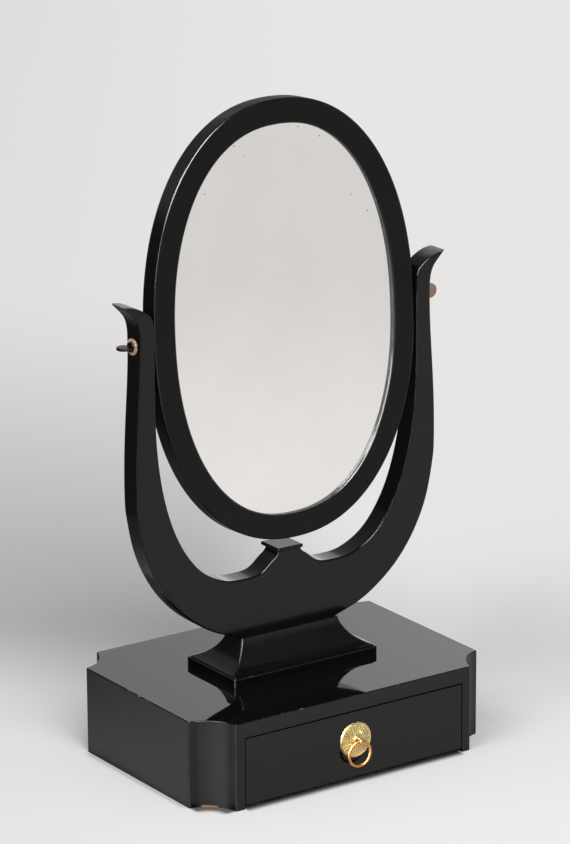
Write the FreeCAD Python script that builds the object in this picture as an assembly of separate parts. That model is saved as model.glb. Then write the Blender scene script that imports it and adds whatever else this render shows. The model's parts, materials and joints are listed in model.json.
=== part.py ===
import FreeCAD, Part
import math
import os
from FreeCAD import Vector

# Table-top dressing mirror. A low box with scooped corners and one drawer carries a moulded pedestal and a
# horned yoke, and an oval mirror tilts in the yoke between two thumbscrews.
# Millimetres. The box stands on z = 0, x runs to the right and the drawer opens towards -y.

# Base box
BASE_WIDTH = 360.0
BASE_DEPTH = 260.0
BASE_HEIGHT = 92.5
SCOOP_SPAN = 34.0
SCOOP_RADIUS = 40.0
SCOOP_ARRIS = 2.2
STILE_WIDTH = 10.5
TOP_THICKNESS = 10.0
RAIL_HEIGHT = 6.2
RAIL_DEPTH = 12.0
SIDE_THICKNESS = 12.0
BACK_THICKNESS = 12.0
BOTTOM_THICKNESS = 4.0
BOTTOM_SETBACK = 6.0
GUIDE_HEIGHT = 20.0
ARRIS = 1.0

# Drawer and what it runs between
DRAWER_SIDE_GAP = 1.0
DRAWER_TOP_GAP = 1.2
RUNNING_GAP = 0.3
KICKER_GAP = 0.5
KICKER_SETBACK = 4.0
STOP_LENGTH = 5.7
STOP_WIDTH = 30.0
STOP_HEIGHT = 16.0
STOP_INSET = 21.5
DRAWER_FRONT_THICKNESS = 14.0
DRAWER_FRONT_ARRIS = 0.6
DRAWER_FRONT_LAP = 5.0
DRAWER_SIDE_THICKNESS = 8.0
DRAWER_SIDE_DROP = 18.8
DRAWER_BACK_THICKNESS = 8.0
DRAWER_BACK_INSET = 2.0
DRAWER_BACK_DROP = 4.0
DRAWER_BOTTOM_THICKNESS = 4.0
GROOVE_HEIGHT = 5.0
GROOVE_DEPTH = 3.0
TAIL_PITCH = 17.333
TAIL_WAIST = 8.0
TAIL_FLARE = 1.6

# Ring pull
PULL_RISE = 4.9
ROSETTE_RADIUS = 19.0
ROSETTE_RIM = 1.8
ROSETTE_RIM_WIDTH = 2.2
ROSETTE_DOME = 4.4
ROSETTE_BOSS_RADIUS = 5.6
ROSETTE_BOSS_SLOPE = 0.6
FLUTE_COUNT = 28
FLUTE_INNER_RADIUS = 0.35
FLUTE_OUTER_RADIUS = 1.0
RING_RADIUS = 13.2
RING_WIRE = 3.0
RING_CLEARANCE = 0.1
STAPLE_WIRE = 2.0
STAPLE_REACH = 3.0
STAPLE_HOLE_CLEARANCE = 0.3
STAPLE_BEND = 1.6
STAPLE_CLINCH = 8.0
CLINCH_GAP = 0.05

# Pedestal
PEDESTAL_TOP_WIDTH = 120.8
PEDESTAL_TOP_DEPTH = 30.4
PLINTH_HEIGHT = 9.0
PLINTH_LEDGE = 2.2
PLINTH_ARRIS = 1.5
MITRE_ARRIS = 1.6
LIP_ARRIS = 0.8
COVE_RUN = 26.6
COVE_RISE = 27.9
COVE_HOLLOW = 5.0
COVE_TOE = 1.2
COVE_LIP = 1.2
COVE_STEPS = 6
SCREW_INSET = 14.4
SCREW_RADIUS = 2.25
SCREW_HEAD_RADIUS = 4.5
SCREW_HEAD_HEIGHT = 2.7
SCREW_BITE = 16.0
SCREW_CLEARANCE = 0.25

# Yoke
YOKE_THICKNESS = 25.0
YOKE_FORWARD = 1.8
YOKE_ARRIS = 1.8
YOKE_FOOT_INSET = 3.2
YOKE_BELLY = 6.4
YOKE_BELLY_HEIGHT = 183.0
YOKE_OUTER_POWER = 2.25
YOKE_INNER_POWER = 2.3
ARM_GAP = 1.4
ARM_WIDTH = 17.3
ARM_STRAIGHT = 59.0
ARM_SHOULDER = 12.5
LOBE_OFFSET = 56.0
LOBE_HEIGHT = 63.2
OGEE_HEIGHT = 84.2
NECK_WIDTH = 27.6
HORN_RISE = 45.2
HORN_REACH = 18.2
YOKE_JOINT_HEIGHT = 118.0
TONGUE_LENGTH = 20.0
TONGUE_WIDTH = 20.0
TONGUE_THICKNESS = 8.0
TONGUE_INSET = 20.0
TENON_SHOULDER = 27.2
TENON_LENGTH = 18.0
TENON_THICKNESS = 10.0
CAP_OVERHANG = 2.0
CAP_PROJECTION = 3.8
CAP_THICKNESS = 4.0
CAP_ARRIS = 1.7
CAP_PEG_RADIUS = 4.0
CAP_PEG_LENGTH = 12.0

# Turning points of the yoke's curves, as shares across and up the stretch that each one lies in
ARM_LEAN = 0.45
HORN_HOLLOW = (0.28, 0.68)
HORN_CROWN = (0.38, 0.965)
HORN_BROW = (0.5, 0.785)
OGEE_FOOT = (0.6, 0.18)
OGEE_MIDDLE = (0.33, 0.66)
FOOT_SLOPE = 0.38
TIP_SLOPE = 1.25
NECK_SLOPE = 2.8
CURVE_STEPS = 8

# Mirror
MIRROR_WIDTH = 318.2
MIRROR_HEIGHT = 453.0
OVAL_POWER = 2.2
OVAL_STEPS = 40
MIRROR_CLEARANCE = 11.7
MIRROR_TILT = 3.77
FRAME_WIDTH = 26.0
FRAME_FRONT = 11.4
FRAME_BACK = 10.4
FRAME_ARRIS = 1.8
SIGHT_ARRIS = 2.2
RABBET_WIDTH = 7.0
GLASS_RECESS = 4.2
GLASS_THICKNESS = 3.5
GLASS_CLEARANCE = 0.3
BACKING_THICKNESS = 6.0
BRAD_COUNT = 10
BRAD_RADIUS = 0.8
BRAD_LENGTH = 14.0
BRAD_BITE = 6.0

# Pivots
SHAFT_RADIUS = 3.0
SHAFT_CLEARANCE = 0.05
SHAFT_TIP_GAP = 1.0
AXIAL_PLAY = 0.1
INSERT_WALL = 1.45
INSERT_BACKING = 4.1
INSERT_FLOOR = 1.7
INSERT_FLANGE = 2.5
INSERT_COLLAR_THICKNESS = 1.0
SPOTFACE_DEPTH = 0.2
SPOTFACE_CLEARANCE = 0.2
WASHER_BRIM = 3.2
WASHER_THICKNESS = 1.5
COLLAR_STEP = 2.2
COLLAR_THICKNESS = 2.0
BLADE_RADIUS = 7.8
BLADE_THICKNESS = 3.0
BLADE_ARRIS = 1.0
BLADE_OVERLAP = 1.2
LEFT_BLADE_TURN = 90.0

# Largest share of a wall that a rounding on each of its two sides may take
ROUNDING_SHARE = 0.45

# Distance under which two places count as one
TOUCH = 1e-3

# Places that follow from the sizes above
HALF_WIDTH = BASE_WIDTH / 2
HALF_DEPTH = BASE_DEPTH / 2
CARCASE_TOP = BASE_HEIGHT - TOP_THICKNESS
SCOOP_OFFSET = (math.sqrt(2 * SCOOP_RADIUS ** 2 - SCOOP_SPAN ** 2) - SCOOP_SPAN) / 2
SCOOP_X = HALF_WIDTH + SCOOP_OFFSET
SCOOP_Y = HALF_DEPTH + SCOOP_OFFSET
OPENING_HALF = HALF_WIDTH - SCOOP_SPAN - STILE_WIDTH
OPENING_TOP = CARCASE_TOP - RAIL_HEIGHT
POST_INNER_Y = HALF_DEPTH - SCOOP_SPAN - STILE_WIDTH
SIDE_INNER_X = HALF_WIDTH - SIDE_THICKNESS
BACK_INNER_Y = HALF_DEPTH - BACK_THICKNESS

DRAWER_HALF = OPENING_HALF - DRAWER_SIDE_GAP
DRAWER_INNER_HALF = DRAWER_HALF - DRAWER_SIDE_THICKNESS
DRAWER_FLOOR = BOTTOM_THICKNESS + RUNNING_GAP
DRAWER_FRONT_TOP = OPENING_TOP - DRAWER_TOP_GAP
DRAWER_SIDE_TOP = DRAWER_FRONT_TOP - DRAWER_SIDE_DROP
DRAWER_SIDE_HEIGHT = DRAWER_SIDE_TOP - DRAWER_FLOOR
DRAWER_FRONT_BACK_Y = DRAWER_FRONT_THICKNESS - HALF_DEPTH
DRAWER_END_Y = BACK_INNER_Y - STOP_LENGTH - RUNNING_GAP
GROOVE_FLOOR = DRAWER_FLOOR + GROOVE_HEIGHT
GROOVE_TOP = GROOVE_FLOOR + DRAWER_BOTTOM_THICKNESS
STOP_OUTER = DRAWER_INNER_HALF - STOP_INSET

PULL_HEIGHT = (DRAWER_FLOOR + DRAWER_FRONT_TOP) / 2 + PULL_RISE
EYE_Y = -HALF_DEPTH - ROSETTE_DOME - STAPLE_REACH
STAPLE_NOSE = RING_WIRE / 2 + RING_CLEARANCE + STAPLE_WIRE / 2

PLINTH_TOP = BASE_HEIGHT + PLINTH_HEIGHT
PEDESTAL_TOP = PLINTH_TOP + COVE_TOE + COVE_RISE + COVE_LIP
COVE_FOOT_WIDTH = PEDESTAL_TOP_WIDTH + 2 * COVE_RUN
COVE_FOOT_DEPTH = PEDESTAL_TOP_DEPTH + 2 * COVE_RUN
SCREW_X = PEDESTAL_TOP_WIDTH / 2 - SCREW_INSET

CAP_FLOOR = PEDESTAL_TOP + OGEE_HEIGHT
PIVOT_HEIGHT = CAP_FLOOR + CAP_THICKNESS + MIRROR_CLEARANCE + MIRROR_HEIGHT / 2
ARM_INNER = MIRROR_WIDTH / 2 + ARM_GAP
ARM_OUTER = ARM_INNER + ARM_WIDTH
BELLY_HALF = ARM_OUTER + YOKE_BELLY
YOKE_FOOT_HALF = PEDESTAL_TOP_WIDTH / 2 - YOKE_FOOT_INSET
TENON_HALF = YOKE_FOOT_HALF - TENON_SHOULDER
TONGUE_X = (ARM_INNER + BELLY_HALF) / 2 - TONGUE_INSET
BELLY_Z = PEDESTAL_TOP + YOKE_BELLY_HEIGHT
LOBE_Z = PEDESTAL_TOP + LOBE_HEIGHT
YOKE_JOINT_Z = PEDESTAL_TOP + YOKE_JOINT_HEIGHT
YOKE_FRONT_Y = -YOKE_THICKNESS / 2 - YOKE_FORWARD
YOKE_BACK_Y = YOKE_FRONT_Y + YOKE_THICKNESS
CAP_HALF_WIDTH = NECK_WIDTH / 2 + CAP_OVERHANG
CAP_HALF_DEPTH = YOKE_THICKNESS / 2 + CAP_PROJECTION
CAP_ROUNDING = min(CAP_ARRIS, CAP_THICKNESS * ROUNDING_SHARE)
HORN_TIP = Vector(ARM_OUTER + HORN_REACH, 0, PIVOT_HEIGHT + HORN_RISE)

GLASS_FRONT_Y = GLASS_RECESS - FRAME_FRONT
GLASS_BACK_Y = GLASS_FRONT_Y + GLASS_THICKNESS
BACKING_BACK_Y = GLASS_BACK_Y + BACKING_THICKNESS
INSERT_RADIUS = SHAFT_RADIUS + SHAFT_CLEARANCE + INSERT_WALL
INSERT_COLLAR_RADIUS = INSERT_RADIUS + INSERT_FLANGE
INSERT_SEAT = MIRROR_WIDTH / 2 - SPOTFACE_DEPTH
INSERT_END = MIRROR_WIDTH / 2 - FRAME_WIDTH + RABBET_WIDTH + INSERT_BACKING
COLLAR_RADIUS = SHAFT_RADIUS + COLLAR_STEP
WASHER_RADIUS = COLLAR_RADIUS + WASHER_BRIM
WASHER_SEAT = ARM_OUTER - SPOTFACE_DEPTH
COLLAR_SEAT = WASHER_SEAT + WASHER_THICKNESS + AXIAL_PLAY
BLADE_ROUNDING = min(BLADE_ARRIS, BLADE_THICKNESS * ROUNDING_SHARE)

ORIGIN = Vector(0, 0, 0)
ALONG_X = Vector(1, 0, 0)
ALONG_Y = Vector(0, 1, 0)
ALONG_Z = Vector(0, 0, 1)

nodes = {}


def block(x0, x1, y0, y1, z0, z1):
    """Box between two corners."""
    return Part.makeBox(x1 - x0, y1 - y0, z1 - z0, Vector(x0, y0, z0))


def rod(radius, start, end):
    """Cylinder between two points."""
    axis = end.sub(start)
    return Part.makeCylinder(radius, axis.Length, start, axis)


def mirrored(shape):
    """The same piece on the left side."""
    return shape.mirror(ORIGIN, ALONG_X)


def edges_where(shape, test):
    """Edges whose middle point passes a test."""
    return [edge for edge in shape.Edges if test(edge.CenterOfMass, edge)]


def is_upright(edge):
    """Straight and parallel to z."""
    box = edge.BoundBox
    return max(box.XLength, box.YLength) < TOUCH


def spline(points, start=None, end=None):
    """Smooth edge through points, with optional end directions."""
    curve = Part.BSplineCurve()
    if start is None:
        curve.interpolate(Points=points)
    else:
        curve.interpolate(Points=points, InitialTangent=start, FinalTangent=end)
    return curve.toShape()


def superellipse(width, height, power, angle):
    """Point of a superellipse with these half axes, as x and z from its middle."""
    cosine = math.cos(angle)
    sine = math.sin(angle)
    x = math.copysign(abs(cosine) ** (2 / power), cosine) * width
    z = math.copysign(abs(sine) ** (2 / power), sine) * height
    return x, z


# Base box

def top_panel():
    panel = block(-HALF_WIDTH, HALF_WIDTH, -HALF_DEPTH, HALF_DEPTH, CARCASE_TOP, BASE_HEIGHT)
    for x in (-SCOOP_X, SCOOP_X):
        for y in (-SCOOP_Y, SCOOP_Y):
            panel = panel.cut(Part.makeCylinder(SCOOP_RADIUS, TOP_THICKNESS, Vector(x, y, CARCASE_TOP)))
    panel = panel.makeFillet(SCOOP_ARRIS, edges_where(panel, lambda middle, edge: is_upright(edge)))
    rim = edges_where(panel, lambda middle, edge: edge.BoundBox.ZMin > BASE_HEIGHT - TOUCH)
    panel = panel.makeFillet(ARRIS, rim)
    for x in (-SCREW_X, SCREW_X):
        panel = panel.cut(screw_hole(x))
    return panel


def corner_post(right, back):
    post = block(OPENING_HALF, HALF_WIDTH, POST_INNER_Y, HALF_DEPTH, 0, CARCASE_TOP)
    post = post.cut(Part.makeCylinder(SCOOP_RADIUS, CARCASE_TOP, Vector(SCOOP_X, SCOOP_Y, 0)))
    beside_scoop = edges_where(post, lambda middle, edge: is_upright(edge) and (
        abs(middle.x - HALF_WIDTH + SCOOP_SPAN) + abs(middle.y - HALF_DEPTH) < TOUCH
        or abs(middle.x - HALF_WIDTH) + abs(middle.y - HALF_DEPTH + SCOOP_SPAN) < TOUCH))
    post = post.makeFillet(SCOOP_ARRIS, beside_scoop)
    if not right:
        post = mirrored(post)
    if not back:
        post = post.mirror(ORIGIN, ALONG_Y)
    return post


def bottom_board():
    front = block(-OPENING_HALF, OPENING_HALF, BOTTOM_SETBACK - HALF_DEPTH, BACK_INNER_Y, 0, BOTTOM_THICKNESS)
    between_posts = block(-SIDE_INNER_X, SIDE_INNER_X, -POST_INNER_Y, POST_INNER_Y, 0, BOTTOM_THICKNESS)
    return front.fuse(between_posts).removeSplitter()


def both_sides(name, shape):
    """Keeps a right piece and its mirror image."""
    nodes[name + "_right"] = shape
    nodes[name + "_left"] = mirrored(shape)


def base_box():
    nodes["top_panel"] = top_panel()
    for side, right in (("left", False), ("right", True)):
        nodes["corner_post_front_" + side] = corner_post(right, False)
        nodes["corner_post_back_" + side] = corner_post(right, True)
    nodes["back_panel"] = block(-OPENING_HALF, OPENING_HALF, BACK_INNER_Y, HALF_DEPTH, 0, CARCASE_TOP)
    nodes["bottom_board"] = bottom_board()
    nodes["front_rail"] = block(
        -OPENING_HALF, OPENING_HALF, -HALF_DEPTH, RAIL_DEPTH - HALF_DEPTH, OPENING_TOP, CARCASE_TOP)
    both_sides("side_panel", block(
        SIDE_INNER_X, HALF_WIDTH, -POST_INNER_Y, POST_INNER_Y, 0, CARCASE_TOP))
    both_sides("drawer_guide", block(
        OPENING_HALF, SIDE_INNER_X, -POST_INNER_Y, POST_INNER_Y,
        BOTTOM_THICKNESS, BOTTOM_THICKNESS + GUIDE_HEIGHT))
    both_sides("drawer_kicker", block(
        DRAWER_INNER_HALF, OPENING_HALF, DRAWER_FRONT_BACK_Y + KICKER_SETBACK, BACK_INNER_Y,
        DRAWER_SIDE_TOP + KICKER_GAP, CARCASE_TOP))
    both_sides("drawer_stop", block(
        STOP_OUTER - STOP_WIDTH, STOP_OUTER, BACK_INNER_Y - STOP_LENGTH, BACK_INNER_Y,
        BOTTOM_THICKNESS, BOTTOM_THICKNESS + STOP_HEIGHT))


# Drawer

def dovetails():
    """The tails on the front end of the right side, which the drawer front's sockets take."""
    count = max(1, int(DRAWER_SIDE_HEIGHT / TAIL_PITCH))
    lowest = DRAWER_FLOOR + (DRAWER_SIDE_HEIGHT - (count - 1) * TAIL_PITCH) / 2
    shoulder = DRAWER_FRONT_BACK_Y
    end = DRAWER_FRONT_LAP - HALF_DEPTH
    tails = []
    for index in range(count):
        middle = lowest + index * TAIL_PITCH
        half_waist = TAIL_WAIST / 2
        half_end = half_waist + TAIL_FLARE
        outline = Part.makePolygon([
            Vector(DRAWER_INNER_HALF, shoulder, middle - half_waist),
            Vector(DRAWER_INNER_HALF, end, middle - half_end),
            Vector(DRAWER_INNER_HALF, end, middle + half_end),
            Vector(DRAWER_INNER_HALF, shoulder, middle + half_waist),
            Vector(DRAWER_INNER_HALF, shoulder, middle - half_waist)])
        tails.append(Part.Face(outline).extrude(Vector(DRAWER_SIDE_THICKNESS, 0, 0)))
    return tails


def drawer_bottom():
    return block(
        -DRAWER_INNER_HALF - GROOVE_DEPTH, DRAWER_INNER_HALF + GROOVE_DEPTH,
        DRAWER_FRONT_BACK_Y - GROOVE_DEPTH, DRAWER_END_Y, GROOVE_FLOOR, GROOVE_TOP)


def drawer_back():
    return block(
        -DRAWER_INNER_HALF - GROOVE_DEPTH, DRAWER_INNER_HALF + GROOVE_DEPTH,
        DRAWER_END_Y - DRAWER_BACK_INSET - DRAWER_BACK_THICKNESS, DRAWER_END_Y - DRAWER_BACK_INSET,
        GROOVE_TOP, DRAWER_SIDE_TOP - DRAWER_BACK_DROP)


def drawer_side(tails, bottom, back):
    side = block(
        DRAWER_INNER_HALF, DRAWER_HALF, DRAWER_FRONT_BACK_Y, DRAWER_END_Y, DRAWER_FLOOR, DRAWER_SIDE_TOP)
    return side.fuse(tails).removeSplitter().cut(bottom).cut(back)


def drawer_front(tails, bottom):
    front = block(
        -DRAWER_HALF, DRAWER_HALF, -HALF_DEPTH, DRAWER_FRONT_BACK_Y, DRAWER_FLOOR, DRAWER_FRONT_TOP)
    face_edges = edges_where(front, lambda middle, edge: edge.BoundBox.YMax < -HALF_DEPTH + TOUCH)
    front = front.makeFillet(DRAWER_FRONT_ARRIS, face_edges)
    for tail in tails:
        front = front.cut(tail).cut(mirrored(tail))
    front = front.cut(bottom)
    for hole in staple_holes():
        front = front.cut(hole)
    return front


def drawer():
    tails = dovetails()
    bottom = drawer_bottom()
    back = drawer_back()
    nodes["drawer_front"] = drawer_front(tails, bottom)
    both_sides("drawer_side", drawer_side(tails, bottom, back))
    nodes["drawer_back"] = back
    nodes["drawer_bottom"] = bottom


# Ring pull

def staple_holes():
    """Holes for the staple's two legs, through the rosette and the drawer front."""
    radius = STAPLE_WIRE / 2 + STAPLE_HOLE_CLEARANCE
    holes = []
    for z in (PULL_HEIGHT - STAPLE_NOSE, PULL_HEIGHT + STAPLE_NOSE):
        holes.append(rod(radius, Vector(0, EYE_Y, z), Vector(0, DRAWER_FRONT_BACK_Y, z)))
    return holes


def pull_rosette():
    """Turned disc with a beaded rim and a domed middle, with ribs that fan out from the boss."""
    face = -HALF_DEPTH
    rim_inner = ROSETTE_RADIUS - ROSETTE_RIM_WIDTH
    boss_foot = face - ROSETTE_DOME + ROSETTE_RIM / 2
    rim_floor = face - ROSETTE_RIM / 2
    rim_crest = ROSETTE_RADIUS - ROSETTE_RIM_WIDTH / 2

    def at(radius, y):
        return Vector(radius, y, PULL_HEIGHT)

    bead = Part.Arc(
        at(ROSETTE_RADIUS, rim_floor), at(rim_crest, face - ROSETTE_RIM), at(rim_inner, rim_floor))
    edges = [
        Part.LineSegment(at(0, face), at(ROSETTE_RADIUS, face)).toShape(),
        Part.LineSegment(at(ROSETTE_RADIUS, face), at(ROSETTE_RADIUS, rim_floor)).toShape(),
        bead.toShape(),
        Part.LineSegment(at(rim_inner, rim_floor), at(ROSETTE_BOSS_RADIUS, boss_foot)).toShape(),
        spline([at(ROSETTE_BOSS_RADIUS, boss_foot), at(0, face - ROSETTE_DOME)],
               Vector(-1, -ROSETTE_BOSS_SLOPE, 0), ALONG_X * -1),
        Part.LineSegment(at(0, face - ROSETTE_DOME), at(0, face)).toShape()]
    disc = Part.Face(Part.Wire(edges)).revolve(at(0, face), ALONG_Y, 360)

    rib_start = at(ROSETTE_BOSS_RADIUS, boss_foot)
    rib_end = at(rim_inner, rim_floor)
    rib_axis = rib_end.sub(rib_start)
    rib = Part.makeCone(FLUTE_INNER_RADIUS, FLUTE_OUTER_RADIUS, rib_axis.Length, rib_start, rib_axis)
    behind_face = block(
        0, ROSETTE_RADIUS, face, face + ROSETTE_RADIUS,
        PULL_HEIGHT - ROSETTE_RADIUS, PULL_HEIGHT + ROSETTE_RADIUS)
    rib = rib.cut(behind_face)
    ribs = []
    for index in range(FLUTE_COUNT):
        turned = rib.copy()
        turned.rotate(at(0, face), ALONG_Y, 360 * index / FLUTE_COUNT)
        ribs.append(turned)
    rosette = disc.fuse(ribs)
    for hole in staple_holes():
        rosette = rosette.cut(hole)
    return rosette


def pull_staple():
    """Wire bent round the ring, with both legs turned over behind the drawer front."""
    clinch_y = DRAWER_FRONT_BACK_Y + STAPLE_WIRE / 2 + CLINCH_GAP
    bend = STAPLE_BEND
    middle = bend * (1 - math.sqrt(0.5))

    def at(y, height):
        return Vector(0, y, PULL_HEIGHT + height)

    def leg(sign):
        straight = at(clinch_y - bend, sign * STAPLE_NOSE)
        turned = at(clinch_y, sign * (STAPLE_NOSE + bend))
        between = at(clinch_y - middle, sign * (STAPLE_NOSE + middle))
        end = at(clinch_y, sign * (STAPLE_NOSE + bend + STAPLE_CLINCH))
        return [
            Part.LineSegment(at(EYE_Y, sign * STAPLE_NOSE), straight).toShape(),
            Part.Arc(straight, between, turned).toShape(),
            Part.LineSegment(turned, end).toShape()]

    nose = Part.Arc(at(EYE_Y, STAPLE_NOSE), at(EYE_Y - STAPLE_NOSE, 0), at(EYE_Y, -STAPLE_NOSE)).toShape()
    path = Part.Wire(Part.__sortEdges__(leg(1) + [nose] + leg(-1)))
    end = at(clinch_y, STAPLE_NOSE + bend + STAPLE_CLINCH)
    section = Part.Wire(Part.makeCircle(STAPLE_WIRE / 2, end, ALONG_Z))
    return path.makePipeShell([section], True, False)


def ring_pull():
    nodes["pull_rosette"] = pull_rosette()
    nodes["pull_staple"] = pull_staple()
    nodes["pull_ring"] = Part.makeTorus(
        RING_RADIUS, RING_WIRE / 2, Vector(0, EYE_Y, PULL_HEIGHT - RING_RADIUS), ALONG_Y)


# Pedestal

def eased_outline(half_width, half_depth, height):
    """Level rectangle round the middle, with its corners eased."""
    edges = []
    for quarter, (side, face) in enumerate(((1, 1), (-1, 1), (-1, -1), (1, -1))):
        middle = Vector(side * (half_width - MITRE_ARRIS), face * (half_depth - MITRE_ARRIS), height)
        edges.append(Part.makeCircle(MITRE_ARRIS, middle, ALONG_Z, 90 * quarter, 90 * quarter + 90))
    corners = [(edge.Vertexes[0].Point, edge.Vertexes[-1].Point) for edge in edges]
    for corner, after in zip(corners, corners[1:] + corners[:1]):
        edges.append(Part.makeLine(corner[1], after[0]))
    return Part.Wire(Part.__sortEdges__(edges))


def cove_section(share):
    """Level section of the cove at a share of the way up its arc, which sinks below its chord."""
    chord = math.hypot(COVE_RUN, COVE_RISE)
    lean = math.atan2(COVE_RISE, COVE_RUN)
    radius = (chord ** 2 / 4 + COVE_HOLLOW ** 2) / (2 * COVE_HOLLOW)
    half_sweep = math.asin(chord / 2 / radius)
    turn = half_sweep * (2 * share - 1)
    along = chord / 2 + radius * math.sin(turn)
    below = radius * (math.cos(turn) - math.cos(half_sweep))
    inward = along * math.cos(lean) + below * math.sin(lean)
    up = along * math.sin(lean) - below * math.cos(lean)
    return eased_outline(
        COVE_FOOT_WIDTH / 2 - inward, COVE_FOOT_DEPTH / 2 - inward, PLINTH_TOP + COVE_TOE + up)


def cove_block():
    """The cove with its mitred corners, on a low upright toe and under an upright lip."""
    sections = [cove_section(step / COVE_STEPS) for step in range(COVE_STEPS + 1)]
    toe = Part.Face(sections[0]).extrude(ALONG_Z * -COVE_TOE)
    lip = Part.Face(sections[-1]).extrude(ALONG_Z * COVE_LIP)
    return Part.makeLoft(sections, True).fuse(toe).fuse(lip).removeSplitter()


def screw_hole(x):
    """Clearance hole through the top panel and the plinth, with the countersink in the panel's underside."""
    hole = rod(SCREW_RADIUS + SCREW_CLEARANCE, Vector(x, 0, CARCASE_TOP), Vector(x, 0, PLINTH_TOP))
    return hole.fuse(screw_head(x))


def screw_head(x):
    return Part.makeCone(SCREW_HEAD_RADIUS, SCREW_RADIUS, SCREW_HEAD_HEIGHT, Vector(x, 0, CARCASE_TOP))


def screw(x):
    shank = rod(SCREW_RADIUS, Vector(x, 0, CARCASE_TOP), Vector(x, 0, PLINTH_TOP + SCREW_BITE))
    return shank.fuse(screw_head(x)).removeSplitter()


def tenon():
    return block(
        -TENON_HALF, TENON_HALF, -TENON_THICKNESS / 2, TENON_THICKNESS / 2,
        PEDESTAL_TOP - TENON_LENGTH, PEDESTAL_TOP)


def pedestal():
    half_width = COVE_FOOT_WIDTH / 2 + PLINTH_LEDGE
    half_depth = COVE_FOOT_DEPTH / 2 + PLINTH_LEDGE
    plinth = block(-half_width, half_width, -half_depth, half_depth, BASE_HEIGHT, PLINTH_TOP)
    plinth = plinth.makeFillet(
        PLINTH_ARRIS, edges_where(plinth, lambda middle, edge: edge.BoundBox.ZMax > PLINTH_TOP - TOUCH))

    cove = cove_block()
    cove = cove.makeFillet(
        LIP_ARRIS, edges_where(cove, lambda middle, edge: edge.BoundBox.ZMin > PEDESTAL_TOP - TOUCH))
    cove = cove.cut(tenon())

    screws = []
    for x in (-SCREW_X, SCREW_X):
        plinth = plinth.cut(screw_hole(x))
        screws.append(screw(x))
        cove = cove.cut(screws[-1])
    nodes["pedestal_plinth"] = plinth
    nodes["pedestal_block"] = cove
    nodes["pedestal_screws"] = Part.makeCompound(screws)


# Yoke

def flat(x, z):
    """Point on the yoke's front face."""
    return Vector(x, YOKE_FRONT_Y, z)


def yoke_half_outline():
    """Edges of the yoke's right half, from the middle of its foot round to the middle of its neck."""
    foot = flat(YOKE_FOOT_HALF, PEDESTAL_TOP)
    belly = flat(BELLY_HALF, BELLY_Z)
    waist = flat(ARM_OUTER, PIVOT_HEIGHT)
    tip = flat(HORN_TIP.x, HORN_TIP.z)
    shoulder = flat(ARM_INNER, PIVOT_HEIGHT + ARM_SHOULDER)
    lobe_top = flat(ARM_INNER, PIVOT_HEIGHT - ARM_STRAIGHT)
    neck = flat(NECK_WIDTH / 2, CAP_FLOOR)

    # The outer curve swells from the foot to the belly as a superellipse that is upright at the belly.
    foot_angle = math.acos((YOKE_FOOT_HALF / BELLY_HALF) ** (YOKE_OUTER_POWER / 2))
    drop = YOKE_BELLY_HEIGHT / math.sin(foot_angle) ** (2 / YOKE_OUTER_POWER)
    outer = []
    for step in range(CURVE_STEPS + 1):
        x, z = superellipse(BELLY_HALF, drop, YOKE_OUTER_POWER, foot_angle * (1 - step / CURVE_STEPS))
        outer.append(flat(x, BELLY_Z - z))

    # The inner lobe runs from the straight arm down to its lowest point.
    lobe_width = ARM_INNER - LOBE_OFFSET
    lobe_drop = lobe_top.z - LOBE_Z
    lobe = []
    for step in range(CURVE_STEPS + 1):
        x, z = superellipse(lobe_width, lobe_drop, YOKE_INNER_POWER, math.pi / 2 * step / CURVE_STEPS)
        lobe.append(flat(LOBE_OFFSET + x, lobe_top.z - z))

    def horn_point(start, width, share):
        return flat(start + width * share[0], PIVOT_HEIGHT + HORN_RISE * share[1])

    def ogee_point(start, width, share):
        return flat(start + width * share[0], LOBE_Z + (CAP_FLOOR - LOBE_Z) * share[1])

    arm_lean = flat(BELLY_HALF - YOKE_BELLY * ARM_LEAN, (BELLY_Z + waist.z) / 2)
    horn_hollow = horn_point(ARM_OUTER, HORN_REACH, HORN_HOLLOW)
    horn_crown = horn_point(ARM_OUTER, HORN_REACH, HORN_CROWN)
    horn_brow = horn_point(ARM_INNER, ARM_WIDTH, HORN_BROW)
    ogee_foot = ogee_point(0, LOBE_OFFSET, OGEE_FOOT)
    ogee_middle = ogee_point(neck.x, CAP_FLOOR - LOBE_Z, OGEE_MIDDLE)

    up = ALONG_Z
    down = ALONG_Z * -1
    inward = ALONG_X * -1
    return [
        Part.LineSegment(flat(0, PEDESTAL_TOP), foot).toShape(),
        spline(outer, Vector(1, 0, FOOT_SLOPE), up),
        spline([belly, arm_lean, waist], up, up),
        spline([waist, horn_hollow, tip], up, Vector(1, 0, TIP_SLOPE)),
        spline([tip, horn_crown, horn_brow, shoulder], inward, down),
        Part.LineSegment(shoulder, lobe_top).toShape(),
        spline(lobe, down, inward),
        spline([lobe[-1], ogee_foot, ogee_middle, neck], inward, Vector(-1, 0, NECK_SLOPE)),
        Part.LineSegment(neck, flat(0, CAP_FLOOR)).toShape()]


def tongue():
    """Tongue under the right arm, which the crescent's slot takes."""
    return block(
        TONGUE_X - TONGUE_WIDTH / 2, TONGUE_X + TONGUE_WIDTH / 2, -TONGUE_THICKNESS / 2, TONGUE_THICKNESS / 2,
        YOKE_JOINT_Z - TONGUE_LENGTH, YOKE_JOINT_Z)


def softened(board):
    """The board with its front and back outline rounded over, apart from its level seats."""
    def on_outline(middle, edge):
        box = edge.BoundBox
        on_face = min(abs(middle.y - YOKE_FRONT_Y), abs(middle.y - YOKE_BACK_Y)) < TOUCH
        return on_face and box.YLength < TOUCH and box.ZLength > TOUCH

    return board.makeFillet(YOKE_ARRIS, edges_where(board, on_outline))


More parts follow.
